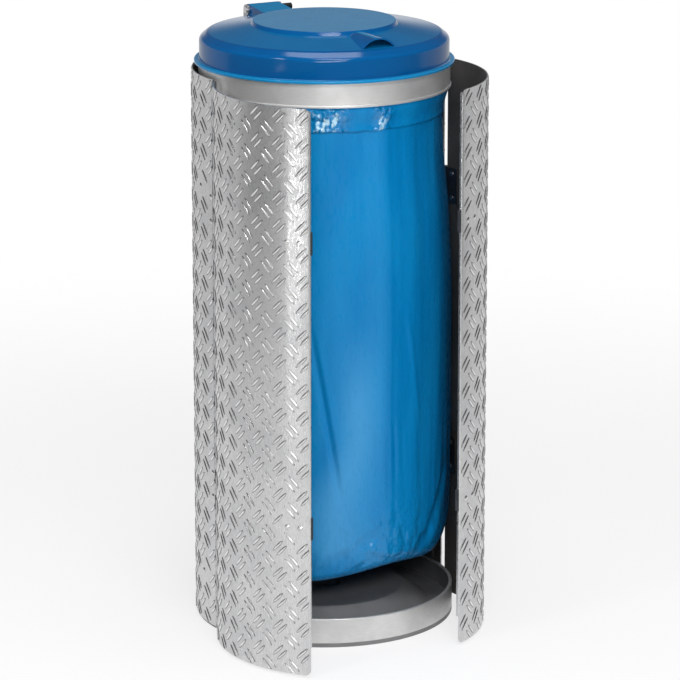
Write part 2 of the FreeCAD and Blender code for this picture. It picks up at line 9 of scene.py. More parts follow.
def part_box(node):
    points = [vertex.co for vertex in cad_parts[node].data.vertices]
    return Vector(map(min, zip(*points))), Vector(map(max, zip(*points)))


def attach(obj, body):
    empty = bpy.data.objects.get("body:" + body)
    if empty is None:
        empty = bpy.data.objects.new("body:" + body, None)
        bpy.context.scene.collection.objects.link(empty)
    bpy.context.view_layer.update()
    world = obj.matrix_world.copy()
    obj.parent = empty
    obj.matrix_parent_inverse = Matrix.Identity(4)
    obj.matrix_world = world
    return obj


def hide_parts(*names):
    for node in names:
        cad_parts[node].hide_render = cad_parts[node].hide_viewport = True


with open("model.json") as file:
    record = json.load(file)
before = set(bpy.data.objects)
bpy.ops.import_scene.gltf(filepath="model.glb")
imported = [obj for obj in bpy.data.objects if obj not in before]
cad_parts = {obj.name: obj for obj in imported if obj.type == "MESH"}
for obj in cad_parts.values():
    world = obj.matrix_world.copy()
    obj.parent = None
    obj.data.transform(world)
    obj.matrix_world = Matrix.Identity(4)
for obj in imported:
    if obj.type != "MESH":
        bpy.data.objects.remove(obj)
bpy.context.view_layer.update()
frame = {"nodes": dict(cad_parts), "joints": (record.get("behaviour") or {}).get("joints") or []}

# Waste-sack stand. Metres, Z up, doorway towards -Y. Angles round the axis are in degrees from the
# middle of the doorway, growing towards +X.
nodes = frame["nodes"]
joints = {joint["name"]: joint for joint in frame["joints"]}


# Sizes read from the model
def z_range(node):
    return [corner[2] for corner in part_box(node)]


BODY_R = max(abs(corner[0]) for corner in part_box("back_panel"))
RING_LOW, RING_TOP = z_range("carrier_ring")
CLAMP_LOW, CLAMP_TOP = z_range("clamp_band")
SACK_FLOOR = z_range("waste_sack")[0]

# Raised bars of the tread plate, and their stations along and across as shares of half a bar
BAR_LONG = 0.0285
BAR_WIDE = 0.0064
BAR_HIGH = 0.0017
BAR_SUNK = 0.0005
BAR_SPACING = 0.0102
BAR_ALONG = (-0.84, -0.5, 0.0, 0.5, 0.84)
BAR_ACROSS = (-1.0, -0.55, -0.1, 0.1, 0.55, 1.0)
PAIR_STEP_ROUND = 0.0427
PAIR_STEP_UP = 0.0435
PAIR_START_UP = 0.0363
RIVET_CLEAR = 0.0085
RIVET_REACH = 0.014
PLATE_SKIN = 0.0004
EDGE_MARGIN = 0.0012
DIAGONAL = math.sqrt(0.5)

# Film of the sack: its belly, its cuff under the clamp band, its neck in the ring and its waist
SACK_R = 0.2053
CUFF_R = 0.2013
NECK_R = 0.1967
WAIST_R = 0.1930
FILM_THICK = 0.00018
# The hem, how far it stands off the wall, how much more on the left, and how far it waves
HEM_Z = 0.8495
HEM_GAP = 0.0006
HEM_GAP_LEFT = 0.0008
HEM_WAVE = 0.0012
# The film over the ring: its rise and its clearance. Between ring and band it keeps off both edges
OVER_RING = 0.0009
RING_CLEAR = 0.0002
HELD_CLEAR = 0.004
# How far the wall stands in where no fold brings it out
FOLD_ROOM = 0.0034
WALL_TALL = RING_LOW - SACK_FLOOR
SACK_DEGREE = math.radians(1.0) * SACK_R

# Tones. Where there are two, a soft noise moves between them
PLATE_OUTSIDE = (0.60, 0.605, 0.61), (0.68, 0.68, 0.68)
PLATE_GRAIN = (0.48, 0.485, 0.49)
# Inner faces of the sheets: a dark tone that paints the shade inside the stand
PLATE_INSIDE_PAINTED_SHADE = (0.085, 0.081, 0.078), (0.115, 0.110, 0.105)
# Tread bars: a pale crown tone that paints a highlight and a dark flank tone that paints shade
BAR_CROWN_PAINTED_HIGHLIGHT = (0.80, 0.80, 0.80), (0.90, 0.90, 0.90)
BAR_FLANK_PAINTED_SHADE = (0.05, 0.05, 0.05), (0.09, 0.09, 0.092)
SATIN_BAND = (0.77, 0.765, 0.755)
ZINC = (0.52, 0.53, 0.54)
# Hinge leaves and strike plates: zinc darkened to paint the shade they sit in
ZINC_PAINTED_SHADE = (0.20, 0.20, 0.21)
BRIGHT_STEEL = (0.70, 0.70, 0.69)
PIN_STEEL = (0.62, 0.62, 0.62), (0.70, 0.70, 0.70)
PIN_CAP = (0.008, 0.008, 0.008)
TRAY = (0.200, 0.200, 0.202), (0.250, 0.250, 0.250)
CATCH = (0.02, 0.02, 0.02), (0.035, 0.035, 0.035)
# Lid: a darker slope tone is painted shade, paler flat-top tones are painted light, and the pale
# edge tone is a painted highlight
LID_SIDE = (0.001, 0.084, 0.262)
LID_SLOPE_PAINTED_SHADE = (0.001, 0.060, 0.200)
LID_CLOUD = (0.001, 0.090, 0.270)
LID_TOP_PAINTED_LIGHT = (0.003, 0.165, 0.360), (0.004, 0.180, 0.380)
LID_EDGE_PAINTED_HIGHLIGHT = (0.012, 0.250, 0.520)
FILM = (0.001, 0.200, 0.500), (0.003, 0.230, 0.540)
# Paler film colour painted as light on the front of the sack
FILM_PAINTED_LIGHT = (0.060, 0.330, 0.660)
# Pale flecks painted as glints on the bunched cuff
FILM_PAINTED_GLINT = (0.50, 0.78, 0.95)


def spot(radius, angle, z):
    turn = math.radians(angle)
    return Vector((radius * math.sin(turn), -radius * math.cos(turn), z))


# Mesh pieces
def mesh_piece(name, points, faces, body, material):
    mesh = bpy.data.meshes.new(name)
    mesh.from_pydata([tuple(p) for p in points], [], [tuple(int(i) for i in f) for f in faces])
    mesh.shade_smooth()
    mesh.materials.append(material)
    piece = bpy.data.objects.new(name, mesh)
    bpy.context.scene.collection.objects.link(piece)
    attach(piece, body)
    return piece


def note(piece, name, values):
    """Keep one number for each point of the mesh, for its material to read."""
    piece.data.attributes.new(name, "FLOAT", "POINT").data.foreach_set("value", values)


# Materials
class Nodes:
    """A node tree that starts empty."""

    def __init__(self, owner):
        owner.use_nodes = True
        self.tree = owner.node_tree
        self.tree.nodes.clear()

    def add(self, kind, **settings):
        made = self.tree.nodes.new(kind)
        for key, value in settings.items():
            setattr(made, key, value)
        return made

    def feed(self, socket, value):
        """Link a socket or set a value. A colour may leave out its alpha."""
        if isinstance(value, bpy.types.NodeSocket):
            self.tree.links.new(value, socket)
        elif socket.type == "RGBA":
            socket.default_value = (*value[:3], 1.0)
        else:
            socket.default_value = value

    def feed_all(self, made, values):
        for socket, value in zip(made.inputs, values):
            self.feed(socket, value)

    def math(self, operation, *values):
        made = self.add("ShaderNodeMath", operation=operation)
        self.feed_all(made, values)
        return made.outputs[0]

    def vector(self, operation, *values):
        made = self.add("ShaderNodeVectorMath", operation=operation)
        self.feed_all(made, values)
        return made.outputs["Value" if operation == "DOT_PRODUCT" else "Vector"]

    def spread(self, value, low, high, to_low=0.0, to_high=1.0):
        """Move smoothly from to_low to to_high while value goes from low to high."""
        made = self.add("ShaderNodeMapRange", interpolation_type="SMOOTHSTEP")
        self.feed_all(made, (value, low, high, to_low, to_high))
        return made.outputs[0]

    def coordinate(self, kind):
        return self.add("ShaderNodeTexCoord").outputs[kind]

    def split(self, vector):
        made = self.add("ShaderNodeSeparateXYZ")
        self.feed(made.inputs[0], vector)
        return made.outputs


class Look(Nodes):
    """A material with one principled shader."""

    SOCKETS = {
        "colour": "Base Color", "metal": "Metallic", "rough": "Roughness", "normal": "Normal",
        "specular": "Specular IOR Level",
    }

    def __init__(self, name):
        self.material = bpy.data.materials.new(name)
        super().__init__(self.material)
        self.shader = self.add("ShaderNodeBsdfPrincipled")
        self.feed(self.add("ShaderNodeOutputMaterial").inputs["Surface"], self.shader.outputs[0])
        self.place = self.coordinate("Object")

    def attribute(self, name):
        return self.add("ShaderNodeAttribute", attribute_name=name).outputs["Fac"]

    def speckle(self, size, stretch=(1, 1, 1), detail=3.0, low=0.35, high=0.65):
        """A noise from 0 to 1 whose features are about size metres across."""
        mapping = self.add("ShaderNodeMapping")
        self.feed(mapping.inputs["Vector"], self.place)
        self.feed(mapping.inputs["Scale"], [1 / (size * s) for s in stretch])
        made = self.add("ShaderNodeTexNoise")
        self.feed(made.inputs["Vector"], mapping.outputs[0])
        self.feed(made.inputs["Scale"], 1.0)
        self.feed(made.inputs["Detail"], detail)
        return self.spread(made.outputs[0], low, high)

    def blend(self, share, first, second):
        made = self.add("ShaderNodeMix", data_type="RGBA")
        self.feed(made.inputs["Factor"], share)
        self.feed(made.inputs[6], first)
        self.feed(made.inputs[7], second)
        return made.outputs[2]

    def bump(self, height, depth, strength=1.0, under=None):
        made = self.add("ShaderNodeBump")
        self.feed(made.inputs["Height"], height)
        self.feed(made.inputs["Distance"], depth)
        self.feed(made.inputs["Strength"], strength)
        if under is not None:
            self.feed(made.inputs["Normal"], under)
        return made.outputs[0]

    def set(self, **values):
        for key, value in values.items():
            self.feed(self.shader.inputs[self.SOCKETS[key]], value)


def inward(look, centre):
    """1 on faces that look at the axis the plate is bent round, 0 elsewhere."""
    away = look.vector("SUBTRACT", look.place, (centre.x, centre.y, 0.0))
    flat = look.vector("MULTIPLY", away, (1, 1, 0))
    facing = look.vector("DOT_PRODUCT", look.vector("NORMALIZE", flat), look.coordinate("Normal"))
    return look.spread(facing, -0.8, -0.4, 1.0, 0.0)


def make_plate_look(name, centre):
    """Sheet with a bare outer face; its inner face gets a dull, dark tone that paints the shade
    inside the stand.
    """
    look = Look(name)
    shaded_inner = inward(look, centre)
    cloud = look.speckle(0.09)
    grain = look.speckle(0.0016, stretch=(1, 1, 5), detail=4.0)
    clouded = look.blend(cloud, *PLATE_OUTSIDE)
    bare = look.blend(look.math("MULTIPLY", grain, 0.35), clouded, PLATE_GRAIN)
    rough = look.spread(grain, 0.0, 1.0, 0.27, 0.38)
    look.set(
        # The inner face takes a dark tone as painted shade
        colour=look.blend(shaded_inner, bare, look.blend(cloud, *PLATE_INSIDE_PAINTED_SHADE)),
        metal=look.spread(shaded_inner, 0.0, 1.0, 0.95, 0.25),
        rough=look.math("ADD", rough, look.math("MULTIPLY", shaded_inner, 0.25)),
        normal=look.bump(grain, 0.00006, 0.5))
    return look.material


def make_bar_look():
    """Tread bar, with a pale crown as a painted highlight and dark flanks as painted shade."""
    look = Look("tread_bar")
    crown = look.spread(look.attribute("lift"), 0.22, 0.88)
    wear = look.speckle(0.012)
    grain = look.speckle(0.0012, detail=4.0)
    look.set(
        # Pale crown as a painted highlight, dark flanks as painted shade
        colour=look.blend(crown, look.blend(wear, *BAR_FLANK_PAINTED_SHADE), look.blend(wear, *BAR_CROWN_PAINTED_HIGHLIGHT)),
        metal=0.98,
        rough=look.spread(crown, 0.0, 1.0, 0.36, 0.32),
        normal=look.bump(grain, 0.00004, 0.4))
    return look.material


def make_steel_look(name, tone, rough_low, rough_high, stretch, metal=0.95):
    look = Look(name)
    cloud = look.speckle(0.06)
    lines = look.speckle(0.0011, stretch=stretch, detail=4.0)
    clouded = look.blend(cloud, [0.86 * c for c in tone], tone)
    look.set(
        colour=look.blend(look.math("MULTIPLY", lines, 0.25), clouded, [0.72 * c for c in tone]),
        metal=metal,
        rough=look.spread(lines, 0.0, 1.0, rough_low, rough_high),
        normal=look.bump(lines, 0.00003, 0.4))
    return look.material


def make_pin_look():
    """Plain steel pin with a black cap on the end beyond the bracket."""
    look = Look("lid_pin")
    bracket_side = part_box("lid_bracket")[1][0]
    cap = look.math("GREATER_THAN", look.split(look.place)[0], bracket_side)
    steel = look.blend(look.speckle(0.0008), *PIN_STEEL)
    look.set(
        colour=look.blend(cap, steel, PIN_CAP),
        metal=look.math("SUBTRACT", 0.95, cap),
        rough=look.spread(cap, 0.0, 1.0, 0.28, 0.40))
    return look.material


def make_moulded_look(name, tones, rough, grain_size, grain_depth):
    look = Look(name)
    cloud = look.speckle(0.05)
    grain = look.speckle(grain_size, detail=2.0)
    look.set(
        colour=look.blend(look.math("MULTIPLY", cloud, 0.6), *tones),
        rough=look.spread(grain, 0.0, 1.0, rough - 0.06, rough + 0.08),
        normal=look.bump(grain, grain_depth, 0.5))
    return look.material


def make_lid_look():
    """Deep blue moulding; its flat top is paler as painted light, its slope darker as painted shade,
    and its rolled edge paler as a painted highlight.
    """
    look = Look("lid_plastic")
    cloud = look.speckle(0.05)
    grain = look.speckle(0.0011, detail=2.0)
    facing_up = look.split(look.coordinate("Normal"))[2]
    height = look.split(look.place)[2]
    slope = look.spread(facing_up, 0.6, 0.9)
    top = look.spread(facing_up, 0.978, 0.997)
    edge = look.spread(height, CLAMP_TOP + 0.0040, CLAMP_TOP + 0.0056, 0.8, 0.0)
    # Darker slope as painted shade, paler flat top as painted light, pale rolled edge as a painted
    # highlight
    side = look.blend(slope, LID_SIDE, LID_SLOPE_PAINTED_SHADE)
    side = look.blend(look.math("MULTIPLY", cloud, 0.3), side, LID_CLOUD)
    flat = look.blend(look.math("MULTIPLY", cloud, 0.6), *LID_TOP_PAINTED_LIGHT)
    look.set(
        colour=look.blend(edge, look.blend(top, side, flat), LID_EDGE_PAINTED_HIGHLIGHT),
        rough=look.spread(grain, 0.0, 1.0, 0.08, 0.13),
        specular=0.26,
        normal=look.bump(grain, 0.00002, 0.4))
    return look.material


def make_film_look():
    """Blue film, glossy and crinkled where bunched; pale flecks paint glints, a paler front tone
    paints light.
    """
    look = Look("blue_film")
    bunched, painted_light = look.attribute("bunched"), look.attribute("painted_light")
    cloud = look.speckle(0.05, stretch=(1, 1, 4))
    fine = look.speckle(0.006, stretch=(1, 1, 3))
    crinkle = look.speckle(0.020, stretch=(1, 1, 1.3), detail=2.5, low=0.25, high=0.75)
    flecks = look.speckle(0.011, stretch=(1, 1, 1.5), detail=4.0, low=0.52, high=0.63)
    # Pale flecks on the bunched cuff are painted glints
    painted_glints = look.math("MULTIPLY", look.spread(bunched, 0.35, 0.9), flecks)
    # The paler tone on the front is painted light
    colour = look.blend(painted_light, look.blend(cloud, *FILM), FILM_PAINTED_LIGHT)
    rough = look.spread(fine, 0.0, 1.0, 0.27, 0.35)
    smooth = look.bump(fine, 0.00012, 0.3)
    look.set(
        colour=look.blend(painted_glints, colour, FILM_PAINTED_GLINT),
        rough=look.math("SUBTRACT", rough, look.math("MULTIPLY", bunched, 0.18)),
        specular=look.spread(bunched, 0.0, 1.0, 0.18, 1.0),
        normal=look.bump(look.math("MULTIPLY", crinkle, bunched), 0.009, 1.0, smooth))
    return look.material


def paint(material, *names):
    for name in names:
        for slot in nodes[name].material_slots:
            slot.material = material


# Doors: where each stands at rest, as a turn of its shut shape about its hinge
def resting_turn(side):
    joint = joints[side + "_door_hinge"]
    hinge = Vector(joint["pos_m"])
    turn = Matrix.Rotation(math.radians(-joint["range_deg"][0]), 4, Vector(joint["axis"]))
    return Matrix.Translation(hinge) @ turn @ Matrix.Translation(-hinge)


SHUT = {
    "stand": Matrix.Identity(4),
    "left_door": resting_turn("left"),
    "right_door": resting_turn("right"),
}


def rivet_places(node, body):
    """Each rivet's place on the shut body, as distance round and height."""
    back = SHUT[body].inverted()
    found = []
    for vertex in nodes[node].data.vertices:
        point = back @ vertex.co
        near = [place for place in found if (place[0] / place[1] - point).length < RIVET_REACH]
        if near:
            near[0][0] += point
            near[0][1] += 1
        else:
            found.append([point.copy(), 1])
    centres = [total / count for total, count in found]
    return [(math.atan2(c.x, -c.y) * BODY_R, c.z) for c in centres]


def plate_range(node, body):
    """Where the plate starts and ends round the shut body, and its lowest and highest z."""
    back = SHUT[body].inverted()
    points = [back @ vertex.co for vertex in nodes[node].data.vertices]
    outside = [p for p in points if math.hypot(p.x, p.y) > BODY_R - PLATE_SKIN]
    angles = [math.atan2(p.x, -p.y) % (2 * math.pi) for p in outside]
    angles = [a - 2 * math.pi if body != "stand" and a > math.pi else a for a in angles]
    heights = [p.z for p in outside]
    return min(angles) * BODY_R, max(angles) * BODY_R, min(heights), max(heights)


# Tread bars: lens-shaped, in pairs that alternate between the two slants
def bar_template():
    """One bar's points, how far up each lies as a share of the crown, and its faces."""
    tip = BAR_LONG / 2
    points, lifts = [(-tip, 0.0, -BAR_SUNK)], [0.0]
    for t in BAR_ALONG:
        half = BAR_WIDE / 2 * (1 - abs(t) ** 2.4) ** 0.6
        for v in BAR_ACROSS:
            rise = (1 - abs(v) ** 1.4) * (1 - abs(t) ** 5)
            points.append((t * tip, v * half, rise * (BAR_HIGH + BAR_SUNK) - BAR_SUNK))
            lifts.append(rise)
    points.append((tip, 0.0, -BAR_SUNK))
    lifts.append(0.0)
    wide, last = len(BAR_ACROSS), len(points) - 1
    faces = []
    for i in range(len(BAR_ALONG) - 1):
        for k in range(wide - 1):
            a = 1 + i * wide + k
            faces.append((a, a + wide, a + wide + 1, a + 1))
    for k in range(wide - 1):
        faces.append((0, 1 + k, 2 + k))
        faces.append((last, last - 1 - k, last - 2 - k))
    return np.array(points), np.array(lifts), faces


def bar_centres(s_low, s_high, z_low, z_high, s_start, keep_off):
    """Places of the bars on a plate, as distance round, height and slant, clear of its rivets."""
    aside = BAR_SPACING / 2 * DIAGONAL
    rows = int((z_high - z_low) / PAIR_STEP_UP) + 2
    first = math.floor((s_low - s_start) / PAIR_STEP_ROUND) - 1
    last = math.ceil((s_high - s_start) / PAIR_STEP_ROUND) + 1
    clear = RIVET_CLEAR + BAR_LONG / 4
    found = []
    for j in range(-1, rows):
        for i in range(first, last):
            for slant, shift in ((1, 0.0), (-1, 0.5)):
                for k in (-1, 1):
                    s = s_start + (i + shift) * PAIR_STEP_ROUND + k * aside
                    z = PAIR_START_UP + (j + shift) * PAIR_STEP_UP - slant * k * aside
                    inside = s_low < s < s_high and z_low < z < z_high
                    if inside and all(math.hypot(s - a, z - b) > clear for a, b in keep_off):
                        found.append((s, z, slant))
    return found


def make_tread_bars(body, node, rivet_nodes, s_start, material):
    s_low, s_high, z_low, z_high = plate_range(node, body)
    keep_off = [place for name in rivet_nodes for place in rivet_places(name, body)]
    keep_off += [(s + 2 * math.pi * BODY_R, z) for s, z in keep_off if s < 0]
    template, lifts, template_faces = bar_template()
    along, across, up = template.T
    low_s, high_s = s_low + EDGE_MARGIN, s_high - EDGE_MARGIN
    low_z, high_z = z_low + EDGE_MARGIN, z_high - EDGE_MARGIN
    radius = BODY_R + up
    points, faces, lift = [], [], []
    for s, z, slant in bar_centres(s_low, s_high, z_low, z_high, s_start, keep_off):
        round_way = s + DIAGONAL * (along - slant * across)
        up_way = z + DIAGONAL * (slant * along + across)
        cut = (round_way < low_s) | (round_way > high_s) | (up_way < low_z) | (up_way > high_z)
        angle = np.clip(round_way, low_s, high_s) / BODY_R
        height = np.clip(up_way, low_z, high_z)
        base = len(points)
        for r, a, h in zip(radius, angle, height):
            points.append(SHUT[body] @ Vector((r * math.sin(a), -r * math.cos(a), h)))
        lift.extend(lifts)
        kept = [face for face in template_faces if not all(cut[n] for n in face)]
        faces.extend([base + n for n in face] for face in kept)
    note(mesh_piece(body + "_tread_bars", points, faces, body, material), "lift", lift)


# Sack: one film from the middle of its floor, up the wall, over the ring and down to the hem.
# Its foot: share of the wall's height, and share of the full radius
FOOT = [(0.0, 0.62), (0.004, 0.74), (0.012, 0.84), (0.026, 0.91), (0.05, 0.955), (0.085, 0.98),
        (0.16, 0.995)]
# Above its middle it draws in towards a waist under the ring: height and radius
WAIST = [(0.35, 0.2053), (0.60, 0.2050), (0.66, 0.2038), (0.70, 0.2020), (0.735, 0.1990),
         (0.76, 0.1965), (0.79, 0.1943), (0.83, 0.1930), (0.865, 0.1930), (0.878, 0.1950)]
PROFILE = [(SACK_FLOOR + share * WALL_TALL, SACK_R * width) for share, width in FOOT]
PROFILE += WAIST + [(RING_LOW, NECK_R), (RING_TOP, NECK_R)]
PROFILE_Z, PROFILE_R = zip(*PROFILE)
# Round the sack: angle, half width in degrees and how much, in metres for bulges, folds and the
# foot's lift and as a share for the cuff
BULGES = [(57.0, 36.0, 0.0056), (-55.0, 32.0, 0.0040)]
LONG_FOLDS = [
    (0.3, 12.0, 0.0034), (-25.0, 12.0, 0.0020), (17.5, 6.5, 0.0014), (38.0, 12.0, 0.0022),
    (-55.0, 14.0, 0.0022), (66.0, 13.0, 0.0024), (95.0, 12.0, 0.0026), (128.0, 15.0, 0.0026),
    (160.0, 13.0, 0.0024), (190.0, 15.0, 0.0028), (222.0, 14.0, 0.0026), (262.0, 13.0, 0.0026),
]
NARROW_FOLDS = [(0.6, 4.5, 0.0024), (-14.0, 5.0, 0.0012)]
FOOT_LIFT = [(12.0, 58.0, 0.021)]
CUFF_CRINKLES = [(-26.0, 15.0, 1.0), (-3.0, 9.0, 0.6), (150.0, 50.0, 0.4)]
CUFF_GATHERS = [(-27.0, 16.0, 1.0), (0.0, 8.0, 0.75), (150.0, 50.0, 0.5)]
# The joggled uprights that the film draws in from: angles, and half width in degrees
UPRIGHTS = (-96.0, 96.0, 180.0)
UPRIGHT_HALF = 14.0
# Creases: start and end as angle and height, half width in degrees, and depth
CREASES = [
    ((-33.5, 0.51), (-22.0, 0.27), 1.3, -0.0042),
    ((-30.0, 0.49), (-19.5, 0.28), 1.5, 0.0016),
    ((-13.5, 0.80), (-12.5, 0.38), 1.0, -0.0011),
    ((-16.5, 0.37), (-15.2, 0.27), 0.9, -0.0012),
    ((-12.8, 0.36), (-11.0, 0.25), 0.9, -0.0010),
    ((-4.6, 0.36), (-2.2, 0.27), 0.9, -0.0013),
    ((0.8, 0.35), (2.4, 0.24), 0.8, -0.0010),
    ((5.4, 0.36), (6.6, 0.27), 0.8, -0.0012),
    ((10.2, 0.36), (10.8, 0.28), 0.8, -0.0010),
    ((14.0, 0.53), (20.5, 0.37), 1.4, 0.0014),
    ((45.0, 0.26), (27.0, 0.135), 3.2, -0.0040),
    ((-33.0, 0.112), (-4.0, 0.18), 3.0, -0.0034),
    ((-24.0, 0.105), (-8.0, 0.135), 2.0, 0.0022),
    ((-8.0, 0.15), (16.0, 0.118), 2.2, 0.0024),
    ((-3.0, 0.23), (4.0, 0.15), 1.4, -0.0020),
    ((6.0, 0.22), (13.0, 0.16), 1.3, -0.0018),
    ((22.0, 0.16), (34.0, 0.125), 2.2, -0.0016),
    ((-52.0, 0.60), (-44.0, 0.22), 2.2, -0.0026),
    ((62.0, 0.62), (55.0, 0.25), 2.4, -0.0026),
    ((120.0, 0.66), (132.0, 0.24), 2.4, -0.0030),
    ((205.0, 0.60), (214.0, 0.22), 2.4, -0.0030),
    ((250.0, 0.64), (243.0, 0.25), 2.4, -0.0028),
]
# How far a crease runs on past its ends as a share of its length, and how soft its sides are
CREASE_TAIL = 0.25
CREASE_SPREAD = 1.6
# Columns of the mesh, closer together in the doorway, and its rows from the floor to the hem
DOORWAY_SIDE = 100.0
DOORWAY_COLUMNS = 216
BACK_COLUMNS = 56
FLOOR_SHARES = (0.2, 0.4, 0.55, 0.68, 0.8, 0.9)
FOOT_TALL = 0.02
FOOT_ROWS = 9
WALL_ROWS = 116
NECK_ROWS = 5
FOLD_TURNS = (30.0, 70.0, 110.0, 150.0, 180.0)
HELD_ROWS = 4
SKIRT_ROWS = 17


def smooth(share):
    return share * share * (3 - 2 * share)


def fade(value, start, end):
    """0 up to start, 1 from end on, smooth between. Start may be the higher."""
    return smooth(min(1.0, max(0.0, (value - start) / (end - start))))


def window(value, start, full, waning, end):
    """1 from full to waning, 0 outside start and end, smooth between."""
    return fade(value, start, full) * fade(value, end, waning)


def half_turn(angle):
    return (angle + 180.0) % 360.0 - 180.0


def ridge(angle, at, half):
    """1 at one angle, falling straight to 0 at half on either side."""
    return max(0.0, 1.0 - abs(half_turn(angle - at)) / half)


def soft_ridge(angle, at, half):
    return smooth(ridge(angle, at, half))


def ridges(table, angle, shape=soft_ridge, start=0.0):
    """The sum at this angle of the ridges in a table."""
    return sum((much * shape(angle, at, half) for at, half, much in table), start)


def around(angle):
    turn = math.radians(angle)
    return Vector((math.cos(turn), math.sin(turn), 0.0))


def noise_round(angle, z, fine, fine_up):
    """Noise on the sack's wall, with fine features round it and fine_up features up it."""
    return noise.noise(around(angle) * fine + Vector((0, 0, z * fine_up)))


def wall_radius(angle, z):
    bulge = ridges(BULGES, angle) * window(z, 0.10, 0.17, 0.52, 0.75)
    return float(np.interp(z, PROFILE_Z, PROFILE_R)) + bulge


def crease_depth(angle, z):
    total = 0.0
    for (a0, z0), (a1, z1), half, depth in CREASES:
        run = Vector(((a1 - a0) * SACK_DEGREE, z1 - z0))
        here = Vector((half_turn(angle - a0) * SACK_DEGREE, z - z0))
        share = here.dot(run) / run.length_squared
        if -CREASE_TAIL < share < 1 + CREASE_TAIL:
            away = abs(here.x * run.y - here.y * run.x) / run.length
            near = max(0.0, 1.0 - away / (half * SACK_DEGREE * CREASE_SPREAD))
            total += depth * smooth(near) * window(share, -CREASE_TAIL, 0.2, 0.8, 1 + CREASE_TAIL)
    return total


def wall_fold(angle, z):
    """How far the wall stands in from its plain round form, in metres."""
    height = (z - SACK_FLOOR) / WALL_TALL
    folds = 0.0
    for at, half, depth in LONG_FOLDS:
        sway = 1.2 * noise.noise(Vector((at * 0.37, z * 2.1, 0.0)))
        folds += depth * ridge(angle, at + sway, half)
    folds += ridges(NARROW_FOLDS, angle, ridge)
    middle = window(z, 0.20, 0.28, 0.36, 0.44)
    depth = FOLD_ROOM - folds + 0.0012 * noise_round(angle, z, 3.2, 1.6)
    depth += 0.0005 * noise_round(angle, z, 16.0, 5.0) * (1 + 1.6 * middle)
    depth += 0.0002 * noise_round(angle, z, 38.0, 11.0)
    depth += 0.0026 * noise_round(angle, z, 20.0, 30.0) * fade(z, 0.24, 0.11)
    plain_ends = window(height, 0.0, 0.06, 0.92, 1.0)
    return plain_ends * max(0.0, depth) - crease_depth(angle, z) * fade(height, 0.0, 0.04)


def upright_guard(angle, z):
    """Near the joggled tops of the uprights the film draws in."""
    return max(soft_ridge(angle, at, UPRIGHT_HALF) for at in UPRIGHTS) * fade(z, 0.70, 0.79)


def foot_lift(angle, z):
    """The foot hangs higher towards the right of the doorway."""
    return ridges(FOOT_LIFT, angle) * (1 - fade(z, SACK_FLOOR, 0.20))


def cuff_ripple(angle, z):
    """The free skirt of the cuff below the clamp band: crinkled where it is bunched."""
    drop = fade(z, CLAMP_LOW + 0.001, HEM_Z + 0.006)
    bunch = ridges(CUFF_CRINKLES, angle, start=0.22)
    ripple = 0.0004 + 0.0022 * noise_round(angle, z, 15.0, 55.0)
    ripple += 0.0016 * noise_round(angle, z, 36.0, 120.0)
    return drop ** 0.5 * bunch * ripple


def cuff_radius(angle, z):
    """Tight under the clamp band, then drawn in to lie on the wall at the hem."""
    hem = wall_radius(angle, HEM_Z) + HEM_GAP + HEM_GAP_LEFT * fade(angle, 12.0, -6.0)
    return CUFF_R + (hem - CUFF_R) * fade(z, CLAMP_LOW, HEM_Z + 0.008) + cuff_ripple(angle, z)


def sack_columns():
    front = np.linspace(-DOORWAY_SIDE, DOORWAY_SIDE, DOORWAY_COLUMNS, endpoint=False)
    back = np.linspace(DOORWAY_SIDE, 360.0 - DOORWAY_SIDE, BACK_COLUMNS, endpoint=False)
    return np.concatenate([front, back])


def sack_rows():
    """Stations along the film after the middle of its floor, each with its kind and a number:
    a share of the floor's radius, a height on the wall or the cuff, or degrees over the ring."""
    foot = np.linspace(SACK_FLOOR, SACK_FLOOR + FOOT_TALL, FOOT_ROWS, endpoint=False)
    wall = np.linspace(SACK_FLOOR + FOOT_TALL, RING_LOW, WALL_ROWS, endpoint=False)
    neck = np.linspace(RING_LOW, RING_TOP, NECK_ROWS)
    held = np.linspace(RING_TOP - HELD_CLEAR, CLAMP_LOW + HELD_CLEAR, HELD_ROWS)
    skirt = np.linspace(CLAMP_LOW, HEM_Z, SKIRT_ROWS)
    stations = {
        "floor": FLOOR_SHARES, "wall": [*foot, *wall, *neck], "fold": FOLD_TURNS,
        "cuff": [*held, *skirt],
    }
    return [(kind, value) for kind, values in stations.items() for value in values]


def film_point(kind, value, angle):
    if kind == "floor":
        flat = spot(value * SACK_R * FOOT[0][1], angle, 0.0)
        rise = 0.003 + 0.002 * noise.noise(Vector((flat.x * 30, -flat.y * 30, 4.0)))
        z = SACK_FLOOR + rise * (1 - value ** 4) + foot_lift(angle, SACK_FLOOR) * value ** 2
        return Vector((flat.x, flat.y, z))
    if kind == "wall":
        radius = wall_radius(angle, value) - wall_fold(angle, value)
        guard = upright_guard(angle, value)
        radius = radius * (1 - guard) + min(radius, WAIST_R) * guard
        return spot(radius, angle, value + foot_lift(angle, value))
    if kind == "fold":
        turn = math.radians(value)
        middle = (NECK_R + CUFF_R) / 2
        half = (CUFF_R - NECK_R) / 2
        rise = OVER_RING * math.sin(turn) + RING_CLEAR
        return spot(middle - half * math.cos(turn), angle, RING_TOP + rise)
    hem = HEM_WAVE * noise.noise(spot(9.0, angle, 0.0)) if value <= HEM_Z + 1e-6 else 0.0
    return spot(cuff_radius(angle, value), angle, value + hem)


def bunch_share(kind, value, angle):
    """1 where the cuff is bunched up, less at the crumpled foot, 0 on smooth film."""
    if kind == "wall":
        return 0.34 * fade(value, 0.27, 0.14) * soft_ridge(angle, 4.0, 44.0)
    if kind == "cuff":
        return min(1.0, ridges(CUFF_GATHERS, angle)) * fade(value, CLAMP_LOW, CLAMP_LOW - 0.006)
    return 0.0


